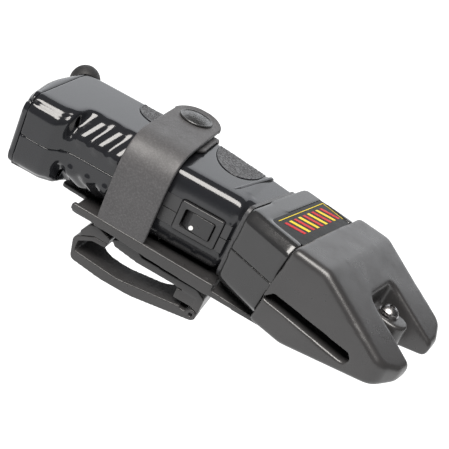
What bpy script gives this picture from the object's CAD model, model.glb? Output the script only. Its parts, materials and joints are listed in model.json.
"""Looks of a firefighter's rescue torch in its belt holder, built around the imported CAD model."""
import json
import math

import bpy
import numpy as np
from mathutils import Matrix, Vector, noise


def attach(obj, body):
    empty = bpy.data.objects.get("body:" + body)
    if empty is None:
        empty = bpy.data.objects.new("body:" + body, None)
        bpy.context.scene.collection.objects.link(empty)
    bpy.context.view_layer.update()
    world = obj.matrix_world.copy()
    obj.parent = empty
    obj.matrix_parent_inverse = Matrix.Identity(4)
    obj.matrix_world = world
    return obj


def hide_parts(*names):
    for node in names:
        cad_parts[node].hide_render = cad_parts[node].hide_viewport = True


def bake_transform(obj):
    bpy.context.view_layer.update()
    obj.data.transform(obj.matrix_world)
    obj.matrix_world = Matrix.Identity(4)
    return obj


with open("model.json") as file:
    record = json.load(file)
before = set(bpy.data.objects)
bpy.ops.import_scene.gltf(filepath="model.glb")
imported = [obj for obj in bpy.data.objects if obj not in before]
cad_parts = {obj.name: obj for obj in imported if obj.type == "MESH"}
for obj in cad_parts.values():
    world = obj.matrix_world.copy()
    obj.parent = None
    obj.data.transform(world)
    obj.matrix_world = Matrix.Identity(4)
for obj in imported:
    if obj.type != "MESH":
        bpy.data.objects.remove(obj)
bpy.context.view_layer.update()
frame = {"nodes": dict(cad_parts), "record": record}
NODES = frame["nodes"]

# Drawing coordinates are millimetres from the grip's own middle, Z from the parting plane.
ORIGIN = Vector((23.8, -10.6, -47.0))
HEAD_YAW = math.radians(15.7)
HEAD_AT = Vector((39.1, -1.0, 0.0))


def at(x, y, z):
    """Drawing millimetres to metres in the row frame."""
    return (Vector((x, y, z)) - ORIGIN) / 1000


def in_head(x, y, z):
    """The head's own millimetres to metres in the row frame."""
    return at(*(HEAD_AT + Matrix.Rotation(-HEAD_YAW, 3, "Z") @ Vector((x, y, z))))


# --- materials -------------------------------------------------------------------
class Shader:
    """A Principled material with a few helpers for wiring procedural detail."""

    def __init__(self, name, **values):
        self.material = bpy.data.materials.new(name)
        self.material.use_nodes = True
        self.tree = self.material.node_tree
        self.shader = self.tree.nodes["Principled BSDF"]
        for socket, value in values.items():
            self.shader.inputs[socket.replace("_", " ")].default_value = value
        self.place = self.tree.nodes.new("ShaderNodeTexCoord").outputs["Object"]

    def node(self, kind, **values):
        """New node; each value goes to the input of that name, or else to the node's own setting."""
        made = self.tree.nodes.new(kind)
        for key, value in values.items():
            if key in made.inputs:
                made.inputs[key].default_value = value
            elif key.replace("_", " ") in made.inputs:
                made.inputs[key.replace("_", " ")].default_value = value
            else:
                setattr(made, key, value)
        return made

    def link(self, source, target):
        self.tree.links.new(source, target)

    def noise(self, scale, detail=2.0, roughness=0.5, stretch=None):
        made = self.node("ShaderNodeTexNoise", Scale=scale, Detail=detail, Roughness=roughness)
        self.link(self.stretched(stretch), made.inputs["Vector"])
        return made.outputs["Fac"]

    def cells(self, scale):
        made = self.node("ShaderNodeTexVoronoi", Scale=scale)
        self.link(self.place, made.inputs["Vector"])
        return made.outputs["Distance"]

    def stretched(self, stretch):
        if stretch is None:
            return self.place
        mapping = self.node("ShaderNodeMapping")
        mapping.inputs["Scale"].default_value = stretch
        self.link(self.place, mapping.inputs["Vector"])
        return mapping.outputs["Vector"]

    def spread(self, source, low, high, start=0.3, end=0.7):
        """Source values from start to end, mapped to low to high."""
        made = self.node("ShaderNodeMapRange")
        for key, value in (("From Min", start), ("From Max", end), ("To Min", low), ("To Max", high)):
            made.inputs[key].default_value = value
        self.link(source, made.inputs["Value"])
        return made.outputs["Result"]

    def mixed(self, factor, first, second):
        made = self.node("ShaderNodeMix", data_type="RGBA")
        for index, value in ((6, first), (7, second)):
            if isinstance(value, bpy.types.NodeSocket):
                self.link(value, made.inputs[index])
            else:
                made.inputs[index].default_value = (*value, 1)
        self.link(factor, made.inputs[0])
        return made.outputs[2]

    def bump(self, layers):
        """Layers of (height socket, distance in metres, strength)."""
        normal = None
        for height, distance, strength in layers:
            made = self.node("ShaderNodeBump", Distance=distance, Strength=strength)
            self.link(height, made.inputs["Height"])
            if normal is not None:
                self.link(normal, made.inputs["Normal"])
            normal = made.outputs["Normal"]
        self.link(normal, self.shader.inputs["Normal"])

    def paint(self, color=None, roughness=None):
        if color is not None:
            self.link(color, self.shader.inputs["Base Color"])
        if roughness is not None:
            self.link(roughness, self.shader.inputs["Roughness"])
        return self.material

    def worn(self, color, bright, amount):
        """Colour that is a little lighter along sharp edges and in slow clouds."""
        geometry = self.node("ShaderNodeNewGeometry")
        edge = self.spread(geometry.outputs["Pointiness"], 0.0, amount, 0.52, 0.62)
        cloud = self.noise(38, 4, 0.6)
        base = self.mixed(self.spread(cloud, 0.0, 1.0), color, [c * 1.25 for c in color])
        return self.mixed(edge, base, bright)


def moulded(name, color, rough, grain, grain_depth, specular=0.5, wear=0.35):
    """Moulded plastic: spark-eroded grain, slow flow marks and lighter edges."""
    s = Shader(name, Specular_IOR_Level=specular)
    fine = s.noise(grain, 3, 0.55)
    flow = s.noise(60)
    s.bump([(flow, 0.0002, 0.12), (fine, grain_depth, 0.5)])
    roughness = s.spread(s.noise(110, 4, 0.6), rough * 0.8, rough * 1.25)
    return s.paint(s.worn(color, [min(1, c * 3 + 0.02) for c in color], wear), roughness)


def rubber(name, color, rough, grain, depth):
    """Matt rubber with pores, slow clouds and fine dust."""
    s = Shader(name, Specular_IOR_Level=0.42)
    swell, fine, pores = s.noise(45, 2), s.noise(grain, 2, 0.6), s.cells(grain * 0.6)
    s.bump([(swell, 0.0004, 0.15), (fine, depth, 0.8), (pores, depth, 0.3)])
    slow = s.mixed(s.spread(s.noise(45, 5, 0.65), 0.0, 1.0), color, [c * 1.3 + 0.002 for c in color])
    specks = s.spread(s.noise(1100, 3, 0.7), 0.0, 0.6, 0.45, 0.68)
    dusty = s.mixed(specks, slow, [c * 2.1 + 0.006 for c in color])
    return s.paint(dusty, s.spread(s.noise(160, 3), rough * 0.88, min(1, rough * 1.12)))


def metal(name, color, rough, brushed=None):
    """Bare or plated metal with fine lines, stretched along an axis if brushed."""
    s = Shader(name, Metallic=1.0)
    lines = s.noise(900, 3, 0.6, brushed or (1, 1, 1))
    s.bump([(lines, 0.00003, 0.25)])
    tarnish = s.mixed(s.spread(s.noise(130, 3), 0, 1), color, [c * 0.82 for c in color])
    return s.paint(tarnish, s.spread(lines, rough * 0.7, rough * 1.4))


def enamel(name, color, rough=0.35, specular=0.5):
    """Printed ink or coloured plastic."""
    s = Shader(name, Specular_IOR_Level=specular)
    s.bump([(s.noise(1500, 2), 0.00002, 0.2)])
    tint = s.mixed(s.spread(s.noise(240, 3), 0, 1), color, [c * 0.9 for c in color])
    return s.paint(tint, s.spread(s.noise(300, 2), rough * 0.85, rough * 1.15))


def clear(name, tint, rough=0.03):
    """Clear plastic with a faint haze."""
    s = Shader(name, Transmission_Weight=1.0, IOR=1.49, Base_Color=(*tint, 1))
    s.bump([(s.noise(70, 2), 0.0001, 0.05)])
    return s.paint(None, s.spread(s.noise(90, 2), rough * 0.6, rough * 1.6))


MATERIALS = {
    "gloss_black": moulded("gloss_black", (0.0125, 0.013, 0.015), 0.13, 2600, 0.000012, 0.5, 0.1),
    "satin_black": moulded("satin_black", (0.027, 0.0262, 0.0267), 0.31, 3300, 0.00004, 0.6, 0.05),
    "holder_black": moulded("holder_black", (0.028, 0.0272, 0.0276), 0.34, 2900, 0.00004, 0.5, 0.06),
    "strap_rubber": rubber("strap_rubber", (0.046, 0.0448, 0.0462), 0.5, 2600, 0.00006),
    "pad_rubber": rubber("pad_rubber", (0.034, 0.034, 0.036), 0.34, 2000, 0.00006),
    "snap_black": moulded("snap_black", (0.02, 0.02, 0.02), 0.27, 1500, 0.00005, 0.8, 0.05),
    "sleeve_black": moulded("sleeve_black", (0.018, 0.018, 0.0187), 0.17, 2600, 0.00002, 0.6, 0.05),
    "bumper": rubber("bumper", (0.01, 0.01, 0.0105), 0.62, 1100, 0.0002),
    "bright_chrome": metal("bright_chrome", (0.36, 0.35, 0.35), 0.3),
    "steel": metal("steel", (0.5, 0.5, 0.52), 0.3, (1, 1, 0.06)),
    "contact_brass": metal("contact_brass", (0.75, 0.56, 0.22), 0.26),
    "switch_black": moulded("switch_black", (0.016, 0.016, 0.017), 0.3, 2400, 0.00002, 0.5, 0.3),
    "white_mark": enamel("white_mark", (0.86, 0.86, 0.84)),
    "label_face": enamel("label_face", (0.003, 0.003, 0.003), 0.3, 0.12),
    "clear_lens": clear("clear_lens", (0.93, 0.96, 1.0)),
    "silver_mirror": metal("silver_mirror", (0.9, 0.9, 0.92), 0.12),
    "led_white": enamel("led_white", (0.92, 0.86, 0.5), 0.2),
    "board_green": enamel("board_green", (0.03, 0.2, 0.08), 0.4),
    "cell_jacket": enamel("cell_jacket", (0.22, 0.24, 0.27), 0.25),
    "tray_plastic": moulded("tray_plastic", (0.04, 0.04, 0.04), 0.5, 2600, 0.00004),
}
LABEL_YELLOW = enamel("label_yellow", (0.62, 0.47, 0.012), 0.4, 0.2)
LABEL_RED = enamel("label_red", (0.42, 0.008, 0.012), 0.4, 0.2)

SLOTS = {part["node"]: part["material_slot"] for part in frame["record"]["subparts"]}
BODIES = frame["record"]["behaviour"]["bodies"]
BODY_OF = {node: body for body, members in BODIES.items() for node in members}


def dress(obj, material):
    """Give obj this one material."""
    obj.data.materials.clear()
    obj.data.materials.append(material)


for node_name, node_object in NODES.items():
    dress(node_object, MATERIALS[SLOTS[node_name]])


# --- mesh helpers ----------------------------------------------------------------
def mesh_piece(name, points, faces, material, body, smooth=True, replaced=()):
    """A piece made from points and faces."""
    mesh = bpy.data.meshes.new(name)
    mesh.from_pydata([tuple(p) for p in points], [], faces)
    mesh.validate()
    return piece(name, mesh, material, body, smooth, replaced)


def piece(name, mesh, material, body, smooth=True, replaced=()):
    """Make mesh a visible piece that rides on a body and stands for CAD nodes."""
    obj = bpy.data.objects.new(name, mesh)
    bpy.context.scene.collection.objects.link(obj)
    dress(obj, material)
    for face in mesh.polygons:
        face.use_smooth = smooth
    if body:
        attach(obj, body)
    if replaced:
        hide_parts(*replaced)
    return obj


def apply_modifiers(obj):
    """Bake an object's modifiers into its mesh."""
    depsgraph = bpy.context.evaluated_depsgraph_get()
    mesh = bpy.data.meshes.new_from_object(obj.evaluated_get(depsgraph))
    old = obj.data
    obj.modifiers.clear()
    obj.data = mesh
    bpy.data.meshes.remove(old)


# Materials that differ from the node's slot
LOOK = {"sleeve_upper": "sleeve_black", "sleeve_lower": "sleeve_black", "lamp_bumper": "bumper"}


def softened(node, voxel, rounds, shape=None, weight=None):
    """A finely remeshed copy of a CAD node, reshaped and smoothed as a moulding's soft edges are.

    voxel is in millimetres; rounds is the least number of smoothing passes, which weight may raise.
    """
    obj = piece(node + "_moulded", NODES[node].data.copy(), MATERIALS[SLOTS[node]], None)
    grid = obj.modifiers.new("grid", "REMESH")
    grid.mode = "VOXEL"
    grid.voxel_size = voxel / 1000
    apply_modifiers(obj)
    mesh = obj.data
    count = len(mesh.vertices)
    places = np.empty(count * 3)
    mesh.vertices.foreach_get("co", places)
    places = places.reshape(-1, 3) * 1000 + np.array(ORIGIN)
    edges = np.empty(len(mesh.edges) * 2, dtype=np.int64)
    mesh.edges.foreach_get("vertices", edges)
    edges = edges.reshape(-1, 2)
    if shape:
        places = shape(places)
    extra = weight(places) if weight else np.zeros(count)
    strongest = max(rounds, int(extra.max()))
    passes = np.maximum(rounds, extra)
    ends = np.concatenate((edges[:, 0], edges[:, 1]))
    others = np.concatenate((edges[:, 1], edges[:, 0]))
    around = np.bincount(ends, minlength=count)[:, None]
    for turn in range(strongest):
        pull = 0.5 * np.clip(passes - turn, 0, 1)[:, None]
        sums = [np.bincount(ends, places[others, axis], count) for axis in range(3)]
        mean = np.stack(sums, 1) / around
        places = places + pull * (mean - places)
    mesh.vertices.foreach_set("co", ((places - np.array(ORIGIN)) / 1000).ravel())
    mesh.update()
    for face in mesh.polygons:
        face.use_smooth = True
    dress(obj, MATERIALS[LOOK.get(node, SLOTS[node])])
    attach(obj, BODY_OF[node])
    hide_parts(node)
    return obj


def ramp(values, start, end):
    """0 before start, 1 after end and smooth between."""
    t = np.clip((values - start) / (end - start), 0, 1)
    return t * t * (3 - 2 * t)


NEAR, TAIL_NEAR, HALF, LAND = -24.8, -32.0, 18.5, 7.4      # the grip's sides, as the CAD has them
TAIL_ROUND, GRIP_ROUND = 9.0, 4.5      # radii of the near top and bottom edges
SKIN = 0.9             # outer part of a wall, which lies exactly on the round
RIB_ROUNDS, EDGE_ROUNDS, SLEEVE_ROUNDS, CAP_ROUNDS = 26, 44, 60, 40        # extra smoothing passes


def round_long_edges(places):
    """Turns the near edges of the lamp housing and grip into full rounds, walls and all."""
    x, y, z = places.T
    height = np.abs(z)
    tail_side = np.interp(x, (-57.6, -50.6), (TAIL_NEAR, NEAR))
    grip_side = NEAR + 2.6 * np.clip((height - LAND) / (HALF - LAND), 0, 1)
    tail = ramp(-x, 50.5, 56)
    side = np.where(x < -52, tail_side, grip_side)
    radius = np.where(x < -30, TAIL_ROUND * tail, GRIP_ROUND * ramp(x, -8, -2))
    across, down = y - side - radius, HALF - height - radius
    corner = (across < 0) & (down < 0) & (radius > 0.3)
    far = np.hypot(across, down) + 1e-9
    depth = np.maximum(-across, -down)
    depth = np.where(depth > radius - SKIN, radius, depth)
    scale = np.where(corner, depth / far, 1.0)
    new_y = np.where(corner, side + radius + across * scale, y)
    new_z = np.where(corner, np.sign(z) * (HALF - radius - down * scale), z)
    return np.stack((x, new_y, new_z), 1)


def rib_smoothing(places):
    """More passes where the finger ribs and the hollow behind the lamp housing are."""
    x, y, z = places.T
    there = ramp(x, -60, -56) * ramp(-x, 3, 7) * ramp(-y, 7, 10) * ramp(np.abs(z), 3.0, 5.0)
    edge = EDGE_ROUNDS * ramp(-y, 10, 13) * ramp(np.abs(z), LAND - 1, LAND + 1) * ramp(x, -71, -68)
    return np.maximum(RIB_ROUNDS * there, edge)


def in_head_frame(places):
    """Drawing millimetres turned into the head's own."""
    x, y = places[:, 0] - HEAD_AT.x, places[:, 1] - HEAD_AT.y
    turn = (math.cos(HEAD_YAW), math.sin(HEAD_YAW))
    return x * turn[0] - y * turn[1], x * turn[1] + y * turn[0], places[:, 2]


def sleeve_smoothing(places):
    """More passes away from the joint between the sleeve's halves."""
    x, y, z = in_head_frame(places)
    return SLEEVE_ROUNDS * ramp(np.abs(z), 2.5, 5) * ramp(-y, 6, 10)


def cap_smoothing(places):
    """More passes along the cap's two outer edges, and fewer at the slot in its side."""
    x, y, z = in_head_frame(places)
    edge = CAP_ROUNDS * ramp(np.abs(y), 13, 16) * ramp(np.abs(z), 6, 9)
    return np.maximum(edge, 18 * np.maximum(ramp(np.abs(z), 4.5, 6.5), 1 - ramp(np.abs(y), 12, 14)))


def smooth_path(path, reach):
    """The path with its bends eased over reach steps; its ends stay."""
    flat = np.array([tuple(p) for p in path])
    kernel = np.exp(-0.5 * (np.arange(-3 * reach, 3 * reach + 1) / reach) ** 2)
    kernel /= kernel.sum()
    before = 2 * flat[0] - flat[1:3 * reach + 1][::-1]
    after = 2 * flat[-1] - flat[-3 * reach - 1:-1][::-1]
    padded = np.concatenate((before, flat, after))
    eased = [np.convolve(padded[:, axis], kernel, "valid") for axis in range(2)]
    return [Vector(pair) for pair in zip(*eased)]


# --- strap and its press stud ----------------------------------------------------
STRAP_X, STRAP_HALF, STRAP_THICK = -14.4, 12.0, 2.4
SNAP_Y = 20.4          # middle of the press stud
SNAP_FACE = 6.6        # radius of its pebbled face
STRAP_TOP = 24.1       # upper face of the long strap, in drawing millimetres
STRAP_NEAR = -28.2     # inner face of the long strap beside the grip
STRAP_UNDER = 21.7     # lower face of the long strap above the grip
STRIP_CORNER = 0.75    # radius of the straps' long edges


def rounded_path(corners):
    """Points 1 mm apart along a line of (u, v, radius) corners, whose bends are arcs."""
    dense = [Vector(corners[0][:2])]
    for before, here, after in zip(corners, corners[1:], corners[2:]):
        corner = Vector(here[:2])
        back = (Vector(before[:2]) - corner).normalized()
        ahead = (Vector(after[:2]) - corner).normalized()
        half = back.angle(ahead) / 2
        run = here[2] / math.tan(half)
        middle = corner + (back + ahead).normalized() * (here[2] / math.sin(half))
        start, end = corner + back * run - middle, corner + ahead * run - middle
        sweep = start.angle_signed(end)
        for k in range(25):
            dense.append(middle + Matrix.Rotation(-sweep * k / 24, 2) @ start)
    dense.append(Vector(corners[-1][:2]))
    lengths = [0.0]
    for a, b in zip(dense, dense[1:]):
        lengths.append(lengths[-1] + (b - a).length)
    count = max(2, round(lengths[-1]))
    wanted = np.linspace(0, lengths[-1], count + 1)
    us = np.interp(wanted, lengths, [p.x for p in dense])
    vs = np.interp(wanted, lengths, [p.y for p in dense])
    return [Vector((u, v)) for u, v in zip(us, vs)]


def strip_section(half, thick):
    """Rounded rectangle as (across, through) points."""
    corner, steps = STRIP_CORNER, 4
    points = []
    for sx, sy, turn in ((1, 1, 0), (-1, 1, 1), (-1, -1, 2), (1, -1, 3)):
        for k in range(steps + 1):
            angle = math.pi / 2 * (turn + k / steps)
            points.append((sx * (half - corner) + corner * math.cos(angle),
                           sy * (thick / 2 - corner) + corner * math.sin(angle)))
        if turn in (0, 2):
            inner = np.linspace(half - corner, corner - half, 14)[1:-1] * (1 if turn == 0 else -1)
            points += [(x, sy * thick / 2) for x in inner]
    return points


def ribbon(name, path, x, half, thick, nose, body, replaced, wave=0.0):
    """Flexible strip in the YZ plane; nose is the radius of its rounded free end, wave how far it warps."""
    lengths = np.cumsum([0.0] + [(b - a).length for a, b in zip(path, path[1:])])
    curl = lengths[-1] - nose * (1 - np.cos(np.linspace(math.pi / 2, 0, 14)))
    wanted = np.concatenate((np.linspace(0, lengths[-1] - nose, round(lengths[-1] - nose)), curl[1:]))
    us, vs = (np.interp(wanted, lengths, [p[axis] for p in path]) for axis in (0, 1))
    path = [Vector(pair) for pair in zip(us, vs)]
    total = len(path) - 1
    points, faces = [], []
    for i, place in enumerate(path):
        along = (path[min(i + 1, total)] - path[max(i - 1, 0)]).normalized()
        normal = Vector((-along.y, along.x))
        left = lengths[-1] - wanted[i]
        width = half
        if left < nose:
            width = half - nose + math.sqrt(max(0.0, nose ** 2 - (nose - left) ** 2)) + 0.4
        for across, through in strip_section(max(width, 1.5), thick):
            drift = wave * noise.noise(Vector((across * 0.06, wanted[i] * 0.05, 3.1)))
            spot = place + normal * (through + drift)
            points.append(at(x + across, spot.x, spot.y))
    ring = len(points) // (total + 1)
    for i in range(total):
        for j in range(ring):
            a, b = i * ring + j, i * ring + (j + 1) % ring
            faces.append((a, a + ring, b + ring, b))
    faces.append(tuple(range(ring)))
    faces.append(tuple(reversed(range(total * ring, (total + 1) * ring))))
    obj = mesh_piece(name, points, faces, MATERIALS["strap_rubber"], body, True, replaced)
    obj.data.set_sharp_from_angle(angle=math.radians(60))
    return obj


def lathe(name, profile, centre, body, slot, replaced, segments, displace):
    """Turned piece from (radius, height) pairs in millimetres, raised by displace(x, y, radius)."""
    points, faces = [], []
    for radius, height in profile:
        for k in range(segments):
            angle = 2 * math.pi * k / segments
            x, y = radius * math.cos(angle), radius * math.sin(angle)
            z = height + displace(x, y, radius)
            points.append(at(centre[0] + x, centre[1] + y, centre[2] + z))
    for i in range(len(profile) - 1):
        for k in range(segments):
            a, b = i * segments + k, i * segments + (k + 1) % segments
            faces.append((a, b, b + segments, a + segments))
    faces.append(tuple(reversed(range(segments))))
    faces.append(tuple(range((len(profile) - 1) * segments, len(profile) * segments)))
    return mesh_piece(name, points, faces, MATERIALS[slot], body, True, replaced)


def pebbles(x, y, size):
    """Height from 0 to 1 of a leather-like pebble pattern."""
    distance = noise.voronoi(Vector((x / size, y / size, 0.7)))[0]
    return min(1.0, (distance[1] - distance[0]) * 2.2)


def snap_displace(x, y, radius):
    """Pebbles on the press stud's face, none on its rim."""
    return 0.0 if radius > SNAP_FACE else 0.16 * pebbles(x, y, 0.95) - 0.12


def straps():
    """Long strap with its press stud, and the short strap under it."""
    middle = STRAP_THICK / 2
    near, over = STRAP_NEAR - middle, STRAP_UNDER + middle
    corners = [(near, -22.3, 0), (near, -15, 20), (near - 0.3, over, 15), (30.4, over, 7),
               (32.8, over + 1.2, 0)]
    path = smooth_path(rounded_path(corners), 4)
    band = ribbon("strap_band", path, STRAP_X, STRAP_HALF, STRAP_THICK, 10.5, None,
                  ("strap_long", "strap_root"), 0.12)
    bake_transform(band)
    short = [(25.5, -4.6, 0), (25.5, 19.6, 5), (-1.4, 19.65, 0)]
    ribbon("strap_end", rounded_path(short), STRAP_X + 1.65, STRAP_HALF + 0.15, 1.6, 5.0, "torch",
           ("strap_short",))
    rim = [(0.05, 0.02), (7.4, 0.0), (8.05, 0.25), (8.15, 0.65), (7.95, 1.05), (7.6, 1.15), (7.3, 1.0),
           (7.1, 0.8), (6.9, 0.85)]
    dome = [(r, 0.9 + 1.4 * (1 - (r / 6.8) ** 2)) for r in np.linspace(6.7, 0.05, 26)]
    lathe("snap_head", rim + dome, (STRAP_X, SNAP_Y, STRAP_TOP), "strap", "snap_black", ("snap_cap",), 96,
          snap_displace)


# --- pads ------------------------------------------------------------------------
PAD_TURN = math.radians(97)    # turn of both pads' long axis
PAD_Y = 17.9           # middle of both pads
PAD_VOXEL = 0.26
PEBBLE_DEPTH, PEBBLE_SIZE = 0.26, 1.0
RIM_RADIUS = 0.28


def pebbled_pad(node):
    """Copy of a pad whose skin is remeshed and raised in pebbles."""
    mesh = NODES[node].data.copy()
    obj = piece(node + "_pebbled", mesh, MATERIALS["pad_rubber"], None)
    remesh = obj.modifiers.new("grid", "REMESH")
    remesh.mode = "VOXEL"
    remesh.voxel_size = PAD_VOXEL / 1000
    apply_modifiers(obj)
    mesh = obj.data
    normals = [v.normal.copy() for v in mesh.vertices]
    for vertex, normal in zip(mesh.vertices, normals):
        p = vertex.co * 1000
        lift = pebbles(p.x + 0.3 * p.z, p.y - 0.8 * p.z, PEBBLE_SIZE) - 0.55
        if normal.z > 0.15 or normal.y > 0.5:
            vertex.co = vertex.co + normal * (lift * PEBBLE_DEPTH / 1000)
    for face in mesh.polygons:
        face.use_smooth = True
    dress(obj, MATERIALS["pad_rubber"])
    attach(obj, "torch")
    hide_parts(node)


def bead(name, points, radius, slot):
    """Thin round line through points on the torch, as a mesh."""
    curve = bpy.data.curves.new(name, "CURVE")
    curve.dimensions = "3D"
    curve.bevel_depth = radius / 1000
    curve.bevel_resolution = 3
    spline = curve.splines.new("POLY")
    spline.points.add(len(points) - 1)
    for target, p in zip(spline.points, points):
        target.co = (*p, 1)
    shape = bpy.data.objects.new(name + "_path", curve)
    bpy.context.scene.collection.objects.link(shape)
    depsgraph = bpy.context.evaluated_depsgraph_get()
    mesh = bpy.data.meshes.new_from_object(shape.evaluated_get(depsgraph))
    bpy.data.objects.remove(shape)
    piece(name, mesh, MATERIALS[slot], "torch")


def pad_rim(node, x, half, reach):
    """Raised lip around a pad, dropped on to the pad's own surface."""
    first = Vector((math.cos(PAD_TURN), math.sin(PAD_TURN))) * (reach - 0.3)
    second = Vector((-math.sin(PAD_TURN), math.cos(PAD_TURN))) * (half - 0.3)
    rim = []
    for k in range(141):
        angle = math.radians(55) + math.radians(250) * k / 140
        flat = Vector((x, PAD_Y)) + first * math.cos(angle) + second * math.sin(angle)
        hit, place, normal = NODES[node].ray_cast(at(flat.x, flat.y, 40), Vector((0, 0, -1)))[:3]
        if hit and normal.z > 0.2:
            rim.append(place + normal * 0.00002)
    if len(rim) > 4:
        bead(node + "_rim", rim, RIM_RADIUS, "gloss_black")


# --- label -----------------------------------------------------------------------
LABEL_LOW, LABEL_HIGH = 18.63, 18.74       # print on the badge, whose face is at 18.65


def print_slab(name, corners, ink):
    """Thin chamfered plate on the badge; corners are (x, y) in the head's own millimetres."""
    centre = sum((Vector(c) for c in corners), Vector((0, 0))) / len(corners)
    points = []
    for inset, z in ((0.0, LABEL_LOW), (0.0, LABEL_HIGH - 0.03), (0.06, LABEL_HIGH)):
        for corner in corners:
            flat = Vector(corner) - (Vector(corner) - centre).normalized() * inset
            points.append(in_head(flat.x, flat.y, z))
    count = len(corners)
    faces = [tuple(reversed(range(count))), tuple(range(2 * count, 3 * count))]
    for ring in range(2):
        for k in range(count):
            a, b = ring * count + k, ring * count + (k + 1) % count
            faces.append((a, b, b + count, a + count))
    mesh_piece(name, points, faces, ink, "torch", False)


def label():
    """Generic badge: one thin border line and equal hazard stripes, with no lettering."""
    print_slab("label_line_far", [(10.9, 22.9), (23.5, 21.3), (23.5, 20.9), (10.9, 22.5)], LABEL_YELLOW)
    print_slab("label_line_left", [(10.9, -18.7), (11.3, -18.7), (11.3, 22.6), (10.9, 22.6)], LABEL_YELLOW)
    for k in range(9):
        y = -17.5 + 4.1 * k
        stripe = [(13.2, y), (22.4, y + 2.6), (22.4, y + 4.6), (13.2, y + 2.0)]
        print_slab("label_stripe_%d" % k, stripe, LABEL_YELLOW if k % 2 else LABEL_RED)


# --- small details ---------------------------------------------------------------
def land_patch(name, x0, x1, z0, z1):
    """Satin panel beside the switch, a hair proud of the glossy shell."""
    points, faces = [], []
    for inset, lift in ((0.0, 0.0), (0.0, 0.08), (0.12, 0.14)):
        left, right, low, high = x0 + inset, x1 - inset, z0 + inset, z1 - inset
        for x, z in ((left, low), (right, low), (right, high), (left, high)):
            points.append(at(x, NEAR - lift, z))
    for ring in range(2):
        for k in range(4):
            a, b = ring * 4 + k, ring * 4 + (k + 1) % 4
            faces.append((a, b, b + 4, a + 4))
    faces += [(8, 9, 10, 11), (3, 2, 1, 0)]
    mesh_piece(name, points, faces, MATERIALS["switch_black"], "torch", False)


def lands():
    """The four satin panels, two on each side of the switch."""
    for side, (x0, x1) in (("left", (-3.0, 4.3)), ("right", (25.5, 28.8))):
        land_patch("land_%s_upper" % side, x0, x1, 0.15, 7.0)
        land_patch("land_%s_lower" % side, x0, x1, -7.0, -0.15)


def top_crease():
    """Low ridge across the grip's top, where it bends towards the neck."""
    radius, sunk = 1.3, 0.95
    line = [(21.0, -14.5, 18.3), (22.4, -10.5, 18.55), (24.6, -2.5, 18.6), (27.2, 6.5, 18.6),
            (29.6, 14.5, 18.55), (30.2, 16.6, 18.2)]
    dense = [Vector(a).lerp(Vector(b), k / 8) for a, b in zip(line, line[1:]) for k in range(8)]
    bead("top_crease", [at(p.x, p.y, p.z - sunk) for p in dense], radius, "gloss_black")


# Copies that only get softer edges: voxel in millimetres and smoothing passes
MOULDED = {"cradle": (0.45, 4), "clip_plate": (0.4, 4), "clip_arm": (0.35, 5), "clip_catch": (0.3, 4),
           "lamp_bumper": (0.3, 3), "rocker": (0.18, 4)}

# Each pad's middle in x, half width and half length
PADS = {"thumb_pad": (14.2, 12.6, 20.5), "back_pad": (-27.0, 13.0, 13.0)}

straps()
top_crease()
for pad_node, pad_shape in PADS.items():
    pad_rim(pad_node, *pad_shape)
    pebbled_pad(pad_node)
label()
lands()
for moulded_node, (moulded_voxel, moulded_rounds) in MOULDED.items():
    softened(moulded_node, moulded_voxel, moulded_rounds)
for sleeve_node in ("sleeve_upper", "sleeve_lower"):
    softened(sleeve_node, 0.4, 5, None, sleeve_smoothing)
softened("head_cap", 0.5, 2, None, cap_smoothing)
for shell_node, shell_voxel in (("upper_shell", 0.5), ("lower_shell", 0.5), ("lens_bezel", 0.4)):
    softened(shell_node, shell_voxel, 4, round_long_edges, rib_smoothing)


# --- stage, light and camera -----------------------------------------------------
FLOOR_HALF = 3.0       # metres
CAMERA_AT = (68.5, -351.3, 169.9)
LENS_MM, SENSOR_MM = 69.755, 36.0


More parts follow.
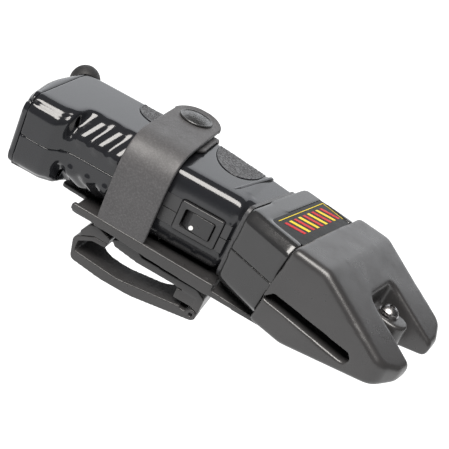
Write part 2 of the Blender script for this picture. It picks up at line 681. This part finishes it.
def stage():
    """Evenly lit white table, which shows no shadow."""
    mesh = bpy.data.meshes.new("floor")
    corners = [(FLOOR_HALF * x, FLOOR_HALF * y, 0) for x, y in ((-1, -1), (1, -1), (1, 1), (-1, 1))]
    mesh.from_pydata(corners, [], [(0, 1, 2, 3)])
    floor = bpy.data.objects.new("floor", mesh)
    bpy.context.scene.collection.objects.link(floor)
    paper = Shader("paper", Base_Color=(0.02, 0.02, 0.02, 1), Roughness=0.9, Specular_IOR_Level=0.0,
                   Emission_Color=(1, 1, 1, 1), Emission_Strength=1.3)
    paper.bump([(paper.noise(300, 3), 0.0001, 0.1)])
    dress(floor, paper.material)


def area_light(name, place, target, size, power, color):
    """Rectangular light that faces target; metres and watts."""
    data = bpy.data.lights.new(name, "AREA")
    data.shape = "RECTANGLE"
    data.size, data.size_y = size
    data.energy = power
    data.color = color
    lamp = bpy.data.objects.new(name, data)
    bpy.context.scene.collection.objects.link(lamp)
    lamp.location = place
    lamp.rotation_euler = (Vector(place) - Vector(target)).to_track_quat("Z", "Y").to_euler()


def lights():
    """Warm key light above the near side, and a cool panel beyond the far side."""
    bpy.context.scene.view_settings.view_transform = "Standard"
    world = bpy.data.worlds.new("studio")
    bpy.context.scene.world = world
    world.use_nodes = True
    sky = world.node_tree.nodes["Background"]
    sky.inputs["Color"].default_value = (0.9, 0.95, 1.0, 1)
    sky.inputs["Strength"].default_value = 0.06
    area_light("back_panel", (-0.15, 1.25, 0.6), (0, 0, 0.05), (2.2, 1.0), 10.8, (0.95, 0.97, 1.0))
    area_light("key_softbox", (-0.14, -0.5, 1.05), (0, 0, 0.03), (0.9, 0.6), 27, (1.0, 0.968, 0.93))


def camera():
    """Three-quarter view from above on the switch side, rolled so that the head points down right."""
    right = Vector((0.867, 0.310, 0.389))
    back = Vector((0.118, -0.888, 0.445)).normalized()
    right = (right - back * right.dot(back)).normalized()
    up = back.cross(right)
    data = bpy.data.cameras.new("camera")
    data.sensor_width = SENSOR_MM
    data.lens = LENS_MM
    data.clip_start = 0.01
    view = bpy.data.objects.new("camera", data)
    bpy.context.scene.collection.objects.link(view)
    rotation = Matrix((right, up, back)).transposed()
    view.matrix_world = Matrix.Translation(at(*CAMERA_AT)) @ rotation.to_4x4()
    bpy.context.scene.camera = view


stage()
lights()
camera()
